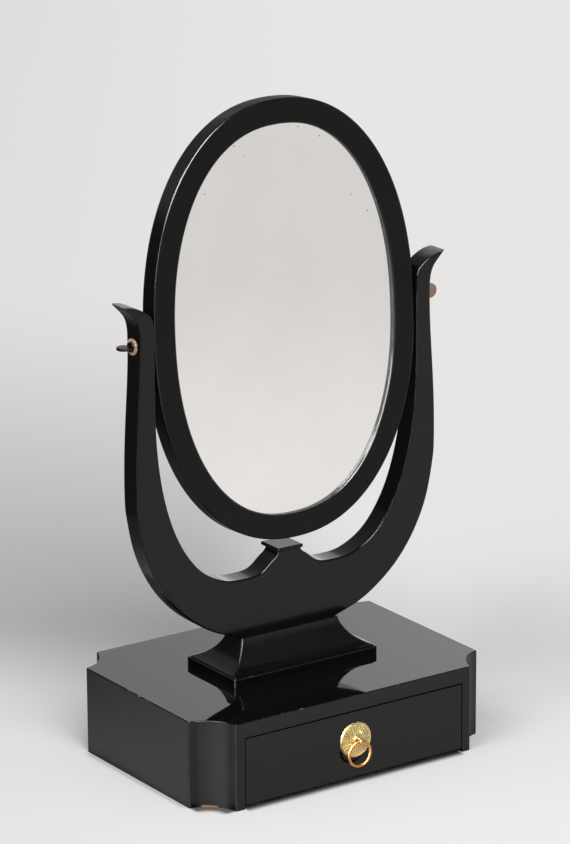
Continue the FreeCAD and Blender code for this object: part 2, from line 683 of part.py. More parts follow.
def yoke():
    half = yoke_half_outline()
    edges = half + [mirrored(edge) for edge in half]
    board = Part.Face(Part.Wire(Part.__sortEdges__(edges))).extrude(ALONG_Y * YOKE_THICKNESS)
    reach = HORN_TIP.x + HORN_REACH
    high = block(
        0, reach, YOKE_FRONT_Y - YOKE_THICKNESS, YOKE_BACK_Y + YOKE_THICKNESS, YOKE_JOINT_Z,
        HORN_TIP.z + HORN_RISE)

    pivot_hole = rod(
        SHAFT_RADIUS + SHAFT_CLEARANCE, Vector(0, 0, PIVOT_HEIGHT), Vector(reach, 0, PIVOT_HEIGHT))
    spotface = rod(
        WASHER_RADIUS + SPOTFACE_CLEARANCE, Vector(WASHER_SEAT, 0, PIVOT_HEIGHT),
        Vector(reach, 0, PIVOT_HEIGHT))
    arm = softened(board.common(high)).cut(pivot_hole).cut(spotface)
    both_sides("yoke_arm", arm.fuse(tongue()).removeSplitter())

    cap_peg = rod(CAP_PEG_RADIUS, Vector(0, 0, CAP_FLOOR - CAP_PEG_LENGTH), Vector(0, 0, CAP_FLOOR))
    crescent = softened(board.cut(high).cut(mirrored(high)))
    for joint in (tongue(), mirrored(tongue()), cap_peg):
        crescent = crescent.cut(joint)
    nodes["yoke_crescent"] = crescent.fuse(tenon()).removeSplitter()

    cap = block(
        -CAP_HALF_WIDTH, CAP_HALF_WIDTH, -CAP_HALF_DEPTH, CAP_HALF_DEPTH, CAP_FLOOR,
        CAP_FLOOR + CAP_THICKNESS)
    cap = cap.makeFillet(CAP_ROUNDING, cap.Edges)
    nodes["yoke_cap"] = cap.fuse(cap_peg).removeSplitter()


# Mirror, modelled upright about its pivot line and then leaned back

def oval_point(inset, angle):
    """Point inside the oval's edge by an even inset, with the edge's outward direction, in the x-z plane."""
    x, z = superellipse(MIRROR_WIDTH / 2, MIRROR_HEIGHT / 2, OVAL_POWER, angle)
    slope_x = math.copysign(abs(2 * x / MIRROR_WIDTH) ** (OVAL_POWER - 1), x) / MIRROR_WIDTH
    slope_z = math.copysign(abs(2 * z / MIRROR_HEIGHT) ** (OVAL_POWER - 1), z) / MIRROR_HEIGHT
    outward = Vector(slope_x, 0, slope_z).normalize()
    return Vector(x, 0, z + PIVOT_HEIGHT) - outward * inset, outward


def oval_plate(inset, front, back):
    """Plate with the oval's outline, drawn in by an inset, between two depths."""
    points = []
    for step in range(OVAL_STEPS):
        point, outward = oval_point(inset, 2 * math.pi * step / OVAL_STEPS)
        points.append(point + ALONG_Y * front)
    curve = Part.BSplineCurve()
    curve.interpolate(Points=points, PeriodicFlag=True)
    return Part.Face(Part.Wire(curve.toShape())).extrude(ALONG_Y * (back - front))


def mirror_frame():
    """Oval ring with a stepped opening for the glass, and sockets for the pivots in its edge."""
    ring = oval_plate(0, -FRAME_FRONT, FRAME_BACK)
    ring = ring.cut(oval_plate(FRAME_WIDTH, -FRAME_FRONT, FRAME_BACK))
    ring = ring.cut(oval_plate(FRAME_WIDTH - RABBET_WIDTH, GLASS_FRONT_Y, FRAME_BACK))
    outer_reach = MIRROR_WIDTH / 2 - FRAME_WIDTH / 4
    sight_reach = MIRROR_WIDTH / 2 - FRAME_WIDTH * 3 / 4

    def on_rim(middle, edge):
        return edge.BoundBox.YLength < TOUCH and edge.BoundBox.XMax > outer_reach

    def on_sight_edge(middle, edge):
        return edge.BoundBox.YMax < TOUCH - FRAME_FRONT and edge.BoundBox.XMax < sight_reach

    ring = ring.makeFillet(FRAME_ARRIS, edges_where(ring, on_rim))
    ring = ring.makeFillet(SIGHT_ARRIS, edges_where(ring, on_sight_edge))
    seat = rod(
        INSERT_COLLAR_RADIUS + SPOTFACE_CLEARANCE, Vector(INSERT_SEAT, 0, PIVOT_HEIGHT),
        Vector(MIRROR_WIDTH, 0, PIVOT_HEIGHT))
    socket = rod(INSERT_RADIUS, Vector(INSERT_END, 0, PIVOT_HEIGHT), Vector(MIRROR_WIDTH, 0, PIVOT_HEIGHT))
    for cutter in (seat, socket):
        ring = ring.cut(cutter).cut(mirrored(cutter))
    return ring


def pivot_insert():
    """Bush with a thin collar, bored from outside for the thumbscrew."""
    end = INSERT_SEAT + INSERT_COLLAR_THICKNESS
    bush = rod(INSERT_RADIUS, Vector(INSERT_END, 0, PIVOT_HEIGHT), Vector(end, 0, PIVOT_HEIGHT))
    collar = rod(INSERT_COLLAR_RADIUS, Vector(INSERT_SEAT, 0, PIVOT_HEIGHT), Vector(end, 0, PIVOT_HEIGHT))
    bore = rod(
        SHAFT_RADIUS + SHAFT_CLEARANCE, Vector(INSERT_END + INSERT_FLOOR, 0, PIVOT_HEIGHT),
        Vector(end, 0, PIVOT_HEIGHT))
    return bush.fuse(collar).removeSplitter().cut(bore)


def backing_brads():
    """Brads that lie on the backing board's edge and are driven into the rabbet's wall."""
    brads = []
    for index in range(BRAD_COUNT):
        angle = 2 * math.pi * (index + 0.5) / BRAD_COUNT
        wall, outward = oval_point(FRAME_WIDTH - RABBET_WIDTH, angle)
        tip = wall + outward * BRAD_BITE + ALONG_Y * (BACKING_BACK_Y + BRAD_RADIUS)
        brads.append(rod(BRAD_RADIUS, tip - outward * BRAD_LENGTH, tip))
    return Part.makeCompound(brads)


def leaned(shape):
    """Turned about the pivot line so that the mirror's top leans back."""
    turned = shape.copy()
    turned.rotate(Vector(0, 0, PIVOT_HEIGHT), ALONG_X, -MIRROR_TILT)
    return turned


def mirror():
    pane_inset = FRAME_WIDTH - RABBET_WIDTH + GLASS_CLEARANCE
    nodes["mirror_frame"] = leaned(mirror_frame())
    nodes["mirror_glass"] = leaned(oval_plate(pane_inset, GLASS_FRONT_Y, GLASS_BACK_Y))
    nodes["backing_board"] = leaned(oval_plate(pane_inset, GLASS_BACK_Y, BACKING_BACK_Y))
    nodes["backing_brads"] = leaned(backing_brads())
    insert = pivot_insert()
    nodes["pivot_insert_right"] = leaned(insert)
    nodes["pivot_insert_left"] = leaned(mirrored(insert))


# Thumbscrews and washers

def thumbscrew():
    """Right thumbscrew with its blade upright."""
    def at(x):
        return Vector(x, 0, PIVOT_HEIGHT)

    tip = INSERT_END + INSERT_FLOOR + SHAFT_TIP_GAP
    collar_end = COLLAR_SEAT + COLLAR_THICKNESS
    shaft = rod(SHAFT_RADIUS, at(tip), at(collar_end))
    collar = rod(COLLAR_RADIUS, at(COLLAR_SEAT), at(collar_end))
    blade_middle = collar_end - BLADE_OVERLAP + BLADE_RADIUS
    half = ALONG_Y * (BLADE_THICKNESS / 2)
    blade = rod(BLADE_RADIUS, at(blade_middle) - half, at(blade_middle) + half)
    blade = blade.makeFillet(BLADE_ROUNDING, edges_where(
        blade, lambda middle, edge: edge.BoundBox.YLength < TOUCH))
    return shaft.fuse([collar, blade]).removeSplitter()


def pivots():
    washer = rod(WASHER_RADIUS, Vector(WASHER_SEAT, 0, PIVOT_HEIGHT), Vector(
        WASHER_SEAT + WASHER_THICKNESS, 0, PIVOT_HEIGHT))
    washer = washer.cut(rod(
        SHAFT_RADIUS + SHAFT_CLEARANCE, Vector(0, 0, PIVOT_HEIGHT), Vector(BASE_WIDTH, 0, PIVOT_HEIGHT)))
    both_sides("washer", washer)
    both_sides("thumbscrew", thumbscrew())
    nodes["thumbscrew_left"].rotate(Vector(0, 0, PIVOT_HEIGHT), ALONG_X, LEFT_BLADE_TURN)


def main():
    base_box()
    drawer()
    ring_pull()
    pedestal()
    yoke()
    mirror()
    pivots()
    os.makedirs("parts", exist_ok=True)
    for name, shape in nodes.items():
        shape.exportStep("parts/" + name + ".step")
        print(name, shape.isValid(), len(shape.Solids), round(shape.Volume, 1))


main()
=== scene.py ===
import json
import math

import bpy
from mathutils import Matrix, Vector


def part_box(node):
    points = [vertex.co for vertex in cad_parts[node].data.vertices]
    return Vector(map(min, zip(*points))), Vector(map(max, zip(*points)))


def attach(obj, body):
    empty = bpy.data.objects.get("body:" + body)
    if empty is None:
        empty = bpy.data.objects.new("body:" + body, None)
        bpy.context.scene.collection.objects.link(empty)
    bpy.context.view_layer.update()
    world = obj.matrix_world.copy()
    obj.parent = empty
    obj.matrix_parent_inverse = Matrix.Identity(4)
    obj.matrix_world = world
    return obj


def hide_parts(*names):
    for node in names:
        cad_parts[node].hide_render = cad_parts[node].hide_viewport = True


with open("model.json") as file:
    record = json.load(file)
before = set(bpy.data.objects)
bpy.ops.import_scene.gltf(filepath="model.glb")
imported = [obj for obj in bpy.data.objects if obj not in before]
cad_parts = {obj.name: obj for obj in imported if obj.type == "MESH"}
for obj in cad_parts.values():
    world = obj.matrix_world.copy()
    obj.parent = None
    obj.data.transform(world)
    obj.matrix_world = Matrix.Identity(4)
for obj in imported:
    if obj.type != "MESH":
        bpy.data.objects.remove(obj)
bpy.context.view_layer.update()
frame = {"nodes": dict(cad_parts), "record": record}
nodes = frame["nodes"]


def towards(azimuth, elevation):
    """A direction by its angles in degrees. Azimuth 0 is the front and 90 the right."""
    a = math.radians(azimuth)
    e = math.radians(elevation)
    return Vector((math.sin(a) * math.cos(e), -math.cos(a) * math.cos(e), math.sin(e)))


# Camera, as fitted to the photograph: its place, its direction from the object and its roll, and its lens
EYE = Vector((-2.3228, -3.3774, 1.5983))
AZIMUTH = -34.572
ELEVATION = 16.949
ROLL = 0.291
LENS = 179.5
SENSOR = 36.0

# Level directions away from the camera and to its right
REAR = -towards(AZIMUTH, 0)
ASIDE = towards(AZIMUTH + 90, 0)

# Axis that an arris is told by: the broad faces beside it look along this axis
FACING_FRONT = "Y"
FACING_UP = "Z"

# Leaves out the depth of a place or a direction
UPRIGHT_PLANE = (1, 0, 1)

# The sliver of bare wood under the front left scoop: its middle, its soft end and its height
BARE_FOOT = (-0.160, -0.103, 0.0)
BARE_FOOT_END = (0.007, 0.010)
BARE_FOOT_HEIGHT = 0.0006

# Heights between which the edges of the yoke's arms are dull, the soft ends of that and its strength
ARM_DULL = (0.205, 0.47)
ARM_DULL_SOFT = 0.03
ARM_DULL_STRENGTH = 2.0

# Spots on the silvering, as places across and up from the middle of the glass, with their radii
SILVER_SPOTS = (
    (-0.0517, 0.1846, 0.0013), (0.0262, 0.1939, 0.0011), (0.0514, 0.1813, 0.0012), (0.0879, 0.1161, 0.0010),
    (-0.0888, 0.1413, 0.0010), (0.1070, 0.0968, 0.0012), (-0.0392, 0.1728, 0.0009))

# Chips and rubbed places along the edges of the top, each with its radius
TOP_CHIPS = (
    (-0.066, -0.130, 0.0030), (0.053, -0.130, 0.0022), (-0.180, 0.013, 0.0050), (-0.180, -0.004, 0.0045),
    (-0.181, -0.020, 0.0060))

# The brass plate behind the ring: its flutes, the fineness of its mesh and where its parts lie, as shares of
# its radius
FLUTES = 28
STEPS_PER_FLUTE = 8
RINGS = 34
FLUTE_START = 0.34
FLUTE_END = 0.88
BOSS_SLOPE = (0.30, 0.18)
CRATER_SLOPE = (0.10, 0.04)
EDGE_SLOPE = (1.0, 0.965)

# Heights on the plate, as shares of its rise
RIM_HEIGHT = 0.26
DISH_HEIGHT = 0.48
BOSS_HEIGHT = 0.26
CRATER_DEPTH = 0.22
BEAD_HEIGHT = 0.10
FLUTE_DEPTH = 0.10


# Node helpers

def connect(tree, value, socket):
    """Feeds a socket with another one, or sets its value."""
    if isinstance(value, bpy.types.NodeSocket):
        tree.links.new(value, socket)
    else:
        socket.default_value = value


def put(tree, kind, inputs=None, **settings):
    """Adds a node. An input is a value, or the socket that feeds it."""
    node = tree.nodes.new(kind)
    for name, value in settings.items():
        setattr(node, name, value)
    for name, value in (inputs or {}).items():
        connect(tree, value, node.inputs[name])
    return node


def math_node(tree, operation, first, second=0.0, clamp=False):
    return put(tree, "ShaderNodeMath", {0: first, 1: second}, operation=operation, use_clamp=clamp).outputs[0]


def vector_node(tree, operation, first, second=(0, 0, 0)):
    node = put(tree, "ShaderNodeVectorMath", {0: first, 1: second}, operation=operation)
    gives_number = operation in ("DISTANCE", "DOT_PRODUCT", "LENGTH")
    return node.outputs["Value" if gives_number else "Vector"]


def product(tree, *values):
    result = values[0]
    for value in values[1:]:
        result = math_node(tree, "MULTIPLY", result, value)
    return result


def total(tree, *values):
    """The sum of the values, kept between 0 and 1."""
    result = values[0]
    for value in values[1:]:
        result = math_node(tree, "ADD", result, value, True)
    return result


def spread(tree, value, low, high, to_low=0.0, to_high=1.0):
    """Maps a range of values to another, smoothly and within its ends."""
    return put(tree, "ShaderNodeMapRange", {
        "Value": value, "From Min": low, "From Max": high, "To Min": to_low, "To Max": to_high},
        interpolation_type="SMOOTHSTEP").outputs["Result"]


def fading(tree, value, low, high):
    """1 up to the low value, falling to 0 at the high one."""
    return spread(tree, value, low, high, 1.0, 0.0)


def band(tree, value, rise, fall):
    """1 between a rise and a fall, each of which runs from one value to another."""
    return product(tree, spread(tree, value, *rise), fading(tree, value, *fall))


def noise(tree, vector, scale, detail=3.0, roughness=0.5, distortion=0.0):
    return put(tree, "ShaderNodeTexNoise", {
        "Vector": vector, "Scale": scale, "Detail": detail, "Roughness": roughness,
        "Distortion": distortion}).outputs["Fac"]


def blend_colors(tree, factor, first, second):
    node = put(tree, "ShaderNodeMix", {0: factor}, data_type="RGBA", blend_type="MIX")
    for index, color in ((6, first), (7, second)):
        is_socket = isinstance(color, bpy.types.NodeSocket)
        connect(tree, color if is_socket else (*color, 1.0), node.inputs[index])
    return node.outputs[2]


def position(tree, stretch=(1, 1, 1), turn=(0, 0, 0)):
    """Place on the piece in metres, stretched or turned."""
    place = put(tree, "ShaderNodeTexCoord").outputs["Object"]
    return put(tree, "ShaderNodeMapping", {
        "Vector": place, "Scale": stretch, "Rotation": turn}).outputs["Vector"]


def split(tree, vector):
    return put(tree, "ShaderNodeSeparateXYZ", {0: vector}).outputs


def surface_normal(tree):
    return put(tree, "ShaderNodeTexCoord").outputs["Normal"]


def facing_up(tree):
    """How far the surface faces up, from -1 to 1."""
    return split(tree, surface_normal(tree))["Z"]


def near(tree, vector, point, inner, outer):
    """1 within the inner distance of a point, falling to 0 at the outer one."""
    return fading(tree, vector_node(tree, "DISTANCE", vector, point), inner, outer)


def specks(tree, vector, scale, share, size):
    """Sparse dots: one in each chosen cell of a cell pattern."""
    cell = put(tree, "ShaderNodeTexVoronoi", {"Vector": vector, "Scale": scale}).outputs
    lot = put(tree, "ShaderNodeSeparateColor", {0: cell["Color"]}).outputs[0]
    chosen = math_node(tree, "GREATER_THAN", lot, 1.0 - share)
    return product(tree, chosen, fading(tree, cell["Distance"], 0.5 * size, size))


def scratches(tree, scale, turn):
    """Thin lines in one direction, broken up along their length."""
    along = position(tree, (1, 14, 14), turn)
    line = spread(tree, noise(tree, along, scale, detail=2), 0.60, 0.66)
    return product(tree, line, spread(tree, noise(tree, position(tree), 30, detail=2), 0.45, 0.6))


def bump(tree, height, strength, distance, under=None):
    inputs = {"Height": height, "Strength": strength, "Distance": distance}
    if under:
        inputs["Normal"] = under
    return put(tree, "ShaderNodeBump", inputs).outputs["Normal"]


def material(name):
    """A new material with its node tree and its shader."""
    made = bpy.data.materials.new(name)
    made.use_nodes = True
    tree = made.node_tree
    tree.nodes.clear()
    shader = put(tree, "ShaderNodeBsdfPrincipled")
    output = put(tree, "ShaderNodeOutputMaterial")
    tree.links.new(shader.outputs["BSDF"], output.inputs["Surface"])
    return made, tree, shader


def feed(tree, shader, **inputs):
    names = {
        "color": "Base Color", "roughness": "Roughness", "metallic": "Metallic", "normal": "Normal",
        "level": "Specular IOR Level", "coat": "Coat Weight", "coat_roughness": "Coat Roughness",
        "alpha": "Alpha"}
    for name, value in inputs.items():
        connect(tree, value, shader.inputs[names[name]])


def middle(box):
    """Middle of a box that is given by its lowest and its highest corner."""
    return [(low + high) / 2 for low, high in zip(*box)]


def add_object(name, data):
    made = bpy.data.objects.new(name, data)
    bpy.context.scene.collection.objects.link(made)
    return made


# Materials

BLACK = (0.0034, 0.0035, 0.0034)
BLACK_BROWN = (0.0050, 0.0047, 0.0042)
UNDERCOAT = (0.15, 0.14, 0.13)
CHIPPED = (0.30, 0.28, 0.26)
# Pale of the blocks' upright corners: rubbed lacquer with a painted highlight
RUBBED_AND_SHEEN = (0.12, 0.115, 0.11)
# Pale of the horn tips: rubbed wear with a painted sheen
RUBBED_AND_HIGHLIT_CORNER = (0.09, 0.09, 0.088)
PALE_WALL_GREY = (0.113, 0.113, 0.115)
DUST = (0.22, 0.21, 0.20)
SAWN_WOOD = (0.46, 0.22, 0.07)
WOOD_SHADOW = (0.16, 0.095, 0.05)
WOOD_PORE = (0.09, 0.05, 0.025)
SILVER_PALE = (0.90, 0.893, 0.87)
SILVER_GREY = (0.86, 0.853, 0.835)
SILVER_SPOT = (0.10, 0.085, 0.06)
# Dirt in the hollows of the brass, also used as painted shade in the rosette's hole
BRASS_DIRT_AND_SHADE = (0.15, 0.105, 0.03)

# How much rougher the lacquer is where it is dusty, scratched, worn, marked (bare wood, chips, rubbed
# lacquer, a paler wall, painted sheen and painted highlights) and dull
ROUGHER = {"dusty": 0.2, "scratched": 0.03, "worn": 0.3, "marked": 0.35, "dull": 0.40}
DUST_STRENGTH = 0.18
COAT_ROUGHNESS = 0.1


def arris(tree, axis):
    """1 on the rounded edges of the faces that look along the axis."""
    facing = math_node(tree, "ABSOLUTE", split(tree, surface_normal(tree))[axis])
    return band(tree, facing, (0.12, 0.4), (0.9, 0.985))


def facing_corner(tree, low, high):
    """1 on upright faces that look between the front and a side."""
    normal = split(tree, surface_normal(tree))
    sides = []
    for axis in ("X", "Y"):
        sides.append(spread(tree, math_node(tree, "ABSOLUTE", normal[axis]), low, high))
    return product(tree, *sides)


def rubbed_and_highlit_corners(tree, place):
    """The upright corners of a block, made pale: partly rubbed lacquer, partly a painted highlight."""
    ragged = spread(tree, noise(tree, place, 170, detail=5, roughness=0.7), 0.35, 0.62, 0.25, 1.0)
    return product(tree, facing_corner(tree, 0.12, 0.4), ragged)


def scooped(tree, place):
    """The hollow corners of the box, which are duller."""
    return facing_corner(tree, 0.2, 0.45)


def bare_foot(tree, place):
    """The sliver at the very bottom of the front left scoop where the lacquer has come off the wood."""
    height = split(tree, place)["Z"]
    ragged = math_node(tree, "SUBTRACT", height, product(tree, noise(tree, place, 160, detail=4), 0.004))
    low = fading(tree, ragged, 0.0, BARE_FOOT_HEIGHT)
    return product(tree, low, near(tree, place, BARE_FOOT, *BARE_FOOT_END))


def rubbed_and_sheen_tips(tree, place):
    """Pale on top of the horns, towards their tips: partly dull rubbed wear, partly a painted sheen on their
    upward faces.
    """
    height = split(tree, place)["Z"]
    rag = product(tree, noise(tree, place, 130, detail=5, roughness=0.7), 0.008)
    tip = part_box("yoke_arm_left")[1][2]
    high_up = spread(tree, math_node(tree, "ADD", height, rag), tip - 0.004, tip + 0.005)
    return product(tree, high_up, spread(tree, facing_up(tree), 0.3, 0.7))


def chipped(tree, place):
    """The chips along the edges of the top."""
    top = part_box("top_panel")[1][2]
    marks = []
    for x, y, radius in TOP_CHIPS:
        marks.append(near(tree, place, (x, y, top), 0.3 * radius, radius))
    ragged = spread(tree, noise(tree, place, 520, detail=4, roughness=0.7), 0.48, 0.58)
    return product(tree, total(tree, *marks), ragged, arris(tree, FACING_UP))


def inward(tree, place):
    """How far the oval's surface faces its middle, from -1 for its outer wall to 1 for its inner one."""
    inwards = vector_node(tree, "SUBTRACT", middle(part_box("mirror_frame")), place)
    inwards = vector_node(tree, "MULTIPLY", inwards, UPRIGHT_PLANE)
    inwards = vector_node(tree, "NORMALIZE", inwards)
    return vector_node(tree, "DOT_PRODUCT", inwards, surface_normal(tree))


def pale_inner_wall(tree, place):
    """The inner wall of the oval, which is a paler grey, with faint streaks."""
    streaks = spread(tree, noise(tree, place, 60), 0.2, 0.8, 0.88, 1.0)
    return product(tree, spread(tree, inward(tree, place), 0.7, 0.95), streaks)


def outer_wall(tree, place):
    """The top of the oval's outer wall, which is duller than its face."""
    outside = fading(tree, inward(tree, place), -0.95, -0.7)
    return product(tree, outside, spread(tree, facing_up(tree), 0.88, 0.98))


def polished_edges(tree, place):
    """The rounded edges of the oval, which hands have polished, and a little of its inner wall."""
    wall = spread(tree, inward(tree, place), 0.1, 0.35, 0.0, 0.22)
    edges = total(tree, arris(tree, FACING_FRONT), wall)
    return product(tree, edges, spread(tree, facing_up(tree), -0.15, 0.1))


def dull_arms(tree, place):
    """The edges of the yoke's arms between the crescent and the horns, which have lost their shine."""
    low, high = ARM_DULL
    reach = band(tree, split(tree, place)["Z"], (low, low + ARM_DULL_SOFT), (high - ARM_DULL_SOFT, high))
    return product(tree, arris(tree, FACING_FRONT), reach, ARM_DULL_STRENGTH)


def lacquer(name, level, gloss, axis, wear, marked=None, mark_color=None, dull=None, polished=None):
    """Old black lacquer: deep and nearly black, with haze, dust, fine scratches and worn arrises.

    Gloss is its least and greatest roughness. Marked, dull and polished are functions that say where it is
    so. A marked place takes the mark colour: bare wood, chips, rubbed lacquer, a paler inner wall, and the
    painted sheen on the horn tips and painted highlight on the blocks' corners.
    """
    made, tree, shader = material(name)
    place = position(tree)
    cloud = noise(tree, place, 16, detail=4, roughness=0.55)
    color = blend_colors(tree, spread(tree, cloud, 0.35, 0.7), BLACK, BLACK_BROWN)
    dusty = specks(tree, place, scale=150, share=0.30, size=0.10)
    color = blend_colors(tree, product(tree, dusty, DUST_STRENGTH), color, DUST)
    scratched = total(tree, scratches(tree, 90, (0, 0.3, 0.5)), scratches(tree, 110, (0, -0.6, 1.9)))
    rough = total(
        tree, spread(tree, noise(tree, place, 45, detail=5, roughness=0.65), 0.3, 0.75, *gloss),
        product(tree, dusty, ROUGHER["dusty"]), product(tree, scratched, ROUGHER["scratched"]))
    if wear:
        rubbed = spread(tree, noise(tree, place, 26, detail=4, roughness=0.6), 0.46, 0.68)
        chips = spread(tree, noise(tree, place, 210, detail=6, roughness=0.72), 0.50, 0.60)
        worn = product(tree, arris(tree, axis), rubbed, chips, wear)
        color = blend_colors(tree, worn, color, UNDERCOAT)
        rough = total(tree, rough, product(tree, worn, ROUGHER["worn"]))
    # Marks: bare wood, chips and rubbed lacquer, and the painted sheen and painted highlight that two of the
    # mark functions give
    if marked:
        where = marked(tree, place)
        color = blend_colors(tree, where, color, mark_color)
        rough = total(tree, rough, product(tree, where, ROUGHER["marked"]))
    if dull:
        rough = total(tree, rough, product(tree, dull(tree, place), ROUGHER["dull"]))
    if polished:
        feed(tree, shader, coat=polished(tree, place), coat_roughness=COAT_ROUGHNESS)
    waves = bump(tree, noise(tree, place, 24, detail=2), strength=0.035, distance=0.001)
    peel = bump(tree, noise(tree, place, 520, detail=2), strength=0.012, distance=0.0004, under=waves)
    feed(tree, shader, color=color, roughness=rough, level=level, normal=peel)
    return made


def bare_wood(name, stretch, light, dark, shaded_front=False):
    """Straight-grained softwood: wavering growth lines, fine fibres, pores and a slow change of tone."""
    made, tree, shader = material(name)
    place = position(tree, stretch)
    fibre = noise(tree, place, 260, detail=5, roughness=0.7)
    waver = noise(tree, place, 30, detail=5, roughness=0.62, distortion=0.8)
    lines = put(tree, "ShaderNodeTexWave", {
        "Vector": place, "Scale": 38.0, "Distortion": 11.0, "Detail": 4.0, "Detail Scale": 1.6,
        "Detail Roughness": 0.65}, wave_type="BANDS", bands_direction="DIAGONAL").outputs["Fac"]
    grain = total(tree, product(tree, lines, 0.22), product(tree, fibre, 0.45), product(tree, waver, 0.35))
    color = blend_colors(tree, spread(tree, grain, 0.28, 0.72), dark, light)
    drift = spread(tree, noise(tree, position(tree), 9), 0.35, 0.75, 0.0, 0.30)
    color = blend_colors(tree, drift, color, WOOD_SHADOW)
    pores = spread(tree, noise(tree, place, 620, detail=2), 0.66, 0.74, 0.0, 0.45)
    color = blend_colors(tree, pores, color, WOOD_PORE)
    if shaded_front:
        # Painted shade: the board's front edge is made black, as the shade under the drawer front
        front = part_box("bottom_board")[0][1]
        depth = split(tree, position(tree))["Y"]
        ragged = math_node(tree, "SUBTRACT", depth, product(tree, fibre, 0.006))
        color = blend_colors(tree, fading(tree, ragged, front - 0.001, front + 0.002), color, BLACK)
    rough = spread(tree, fibre, 0.3, 0.7, 0.5, 0.72)
    fibres = bump(tree, fibre, strength=0.18, distance=0.0004)
    feed(tree, shader, color=color, roughness=rough, normal=fibres)
    return made


def old_mirror(name):
    """Silvered plate glass with a few dark spots in the silvering."""
    made, tree, shader = material(name)
    place = position(tree)
    middle_x, _, middle_z = middle(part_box("mirror_glass"))
    flat = vector_node(tree, "MULTIPLY", place, UPRIGHT_PLANE)
    spots = []
    for across, up, radius in SILVER_SPOTS:
        spots.append(near(tree, flat, (middle_x + across, 0, middle_z + up), 0.4 * radius, radius))
    spots.append(product(tree, specks(tree, place, scale=60, share=0.25, size=0.04), 0.5))
    cloud = noise(tree, place, 9, detail=4, roughness=0.6)
    color = blend_colors(tree, spread(tree, cloud, 0.3, 0.75), SILVER_PALE, SILVER_GREY)
    color = blend_colors(tree, product(tree, total(tree, *spots), 0.75), color, SILVER_SPOT)
    rough = spread(tree, noise(tree, place, 70, detail=4), 0.3, 0.8, 0.03, 0.07)
    feed(tree, shader, color=color, roughness=rough, metallic=1.0)
    return made


def flute_dirt_and_hole_shade(tree, place):
    """The hollows of the flutes on the brass plate, where dirt stays, and the middle of its boss, painted
    dark as the shade in its hole.
    """
    low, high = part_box("pull_rosette")
    radius = (high[0] - low[0]) / 2
    parts = split(tree, vector_node(tree, "SUBTRACT", place, middle((low, high))))
    turn = math_node(tree, "ARCTAN2", parts["Z"], parts["X"])
    wave = math_node(tree, "COSINE", math_node(tree, "MULTIPLY", turn, FLUTES))
    flat = put(tree, "ShaderNodeCombineXYZ", {"X": parts["X"], "Y": parts["Z"]}).outputs["Vector"]
    length = vector_node(tree, "LENGTH", flat)
    reach = band(
        tree, length, (0.6 * FLUTE_START * radius, FLUTE_START * radius), (0.8 * radius, FLUTE_END * radius))
    patchy = spread(tree, noise(tree, place, 190), 0.35, 0.65, 0.25, 0.85)
    # Painted shade: the middle of the boss is made dark as the shade in its hole
    hole = spread(tree, length, 0.06 * radius, 0.16 * radius, 0.9, 0.0)
    return total(tree, product(tree, spread(tree, wave, 0.25, 1.0), reach, patchy), hole)


def metal(name, bright, dull, gloss, metallic=1.0, dirt_and_shade=None):
    """Old metal with patina. Dust makes it less metallic."""
    made, tree, shader = material(name)
    place = position(tree)
    patina = noise(tree, place, 260, detail=5, roughness=0.65)
    blotch = noise(tree, place, 78, roughness=0.6)
    tarnish = total(tree, spread(tree, patina, 0.45, 0.8, 0, 0.5), spread(tree, blotch, 0.45, 0.75, 0, 0.5))
    color = blend_colors(tree, tarnish, bright, dull)
    # Dirt in hollows, and painted shade where the given function adds it
    if dirt_and_shade:
        color = blend_colors(tree, dirt_and_shade(tree, place), color, BRASS_DIRT_AND_SHADE)
    rough = spread(tree, patina, 0.3, 0.75, *gloss)
    pits = bump(tree, patina, strength=0.06, distance=0.0003)
    feed(tree, shader, color=color, roughness=rough, metallic=metallic, normal=pits)
    return made


CASE = lacquer(
    "case_lacquer", level=0.31, gloss=(0.05, 0.10), axis=FACING_UP, wear=0.25,
    marked=bare_foot, mark_color=SAWN_WOOD)
POST = lacquer(
    "post_lacquer", level=0.31, gloss=(0.05, 0.10), axis=FACING_UP, wear=0.25,
    marked=bare_foot, mark_color=SAWN_WOOD, dull=scooped)
TOP = lacquer(
    "top_lacquer", level=0.33, gloss=(0.02, 0.04), axis=FACING_UP, wear=0.3,
    marked=chipped, mark_color=CHIPPED, dull=scooped)
PLINTH = lacquer(
    "plinth_lacquer", level=0.5, gloss=(0.04, 0.08), axis=FACING_UP, wear=0.3,
    marked=rubbed_and_highlit_corners, mark_color=RUBBED_AND_HIGHLIT_CORNER)
COVE = lacquer(
    "cove_lacquer", level=0.43, gloss=(0.14, 0.22), axis=FACING_UP, wear=0,
    marked=rubbed_and_highlit_corners, mark_color=RUBBED_AND_HIGHLIT_CORNER)
YOKE = lacquer(
    "yoke_lacquer", level=0.26, gloss=(0.06, 0.11), axis=FACING_FRONT, wear=0.1,
    marked=rubbed_and_sheen_tips, mark_color=RUBBED_AND_SHEEN, dull=dull_arms)
OVAL = lacquer(
    "frame_lacquer", level=0.145, gloss=(0.18, 0.25), axis=FACING_FRONT, wear=0.12,
    marked=pale_inner_wall, mark_color=PALE_WALL_GREY, dull=outer_wall, polished=polished_edges)

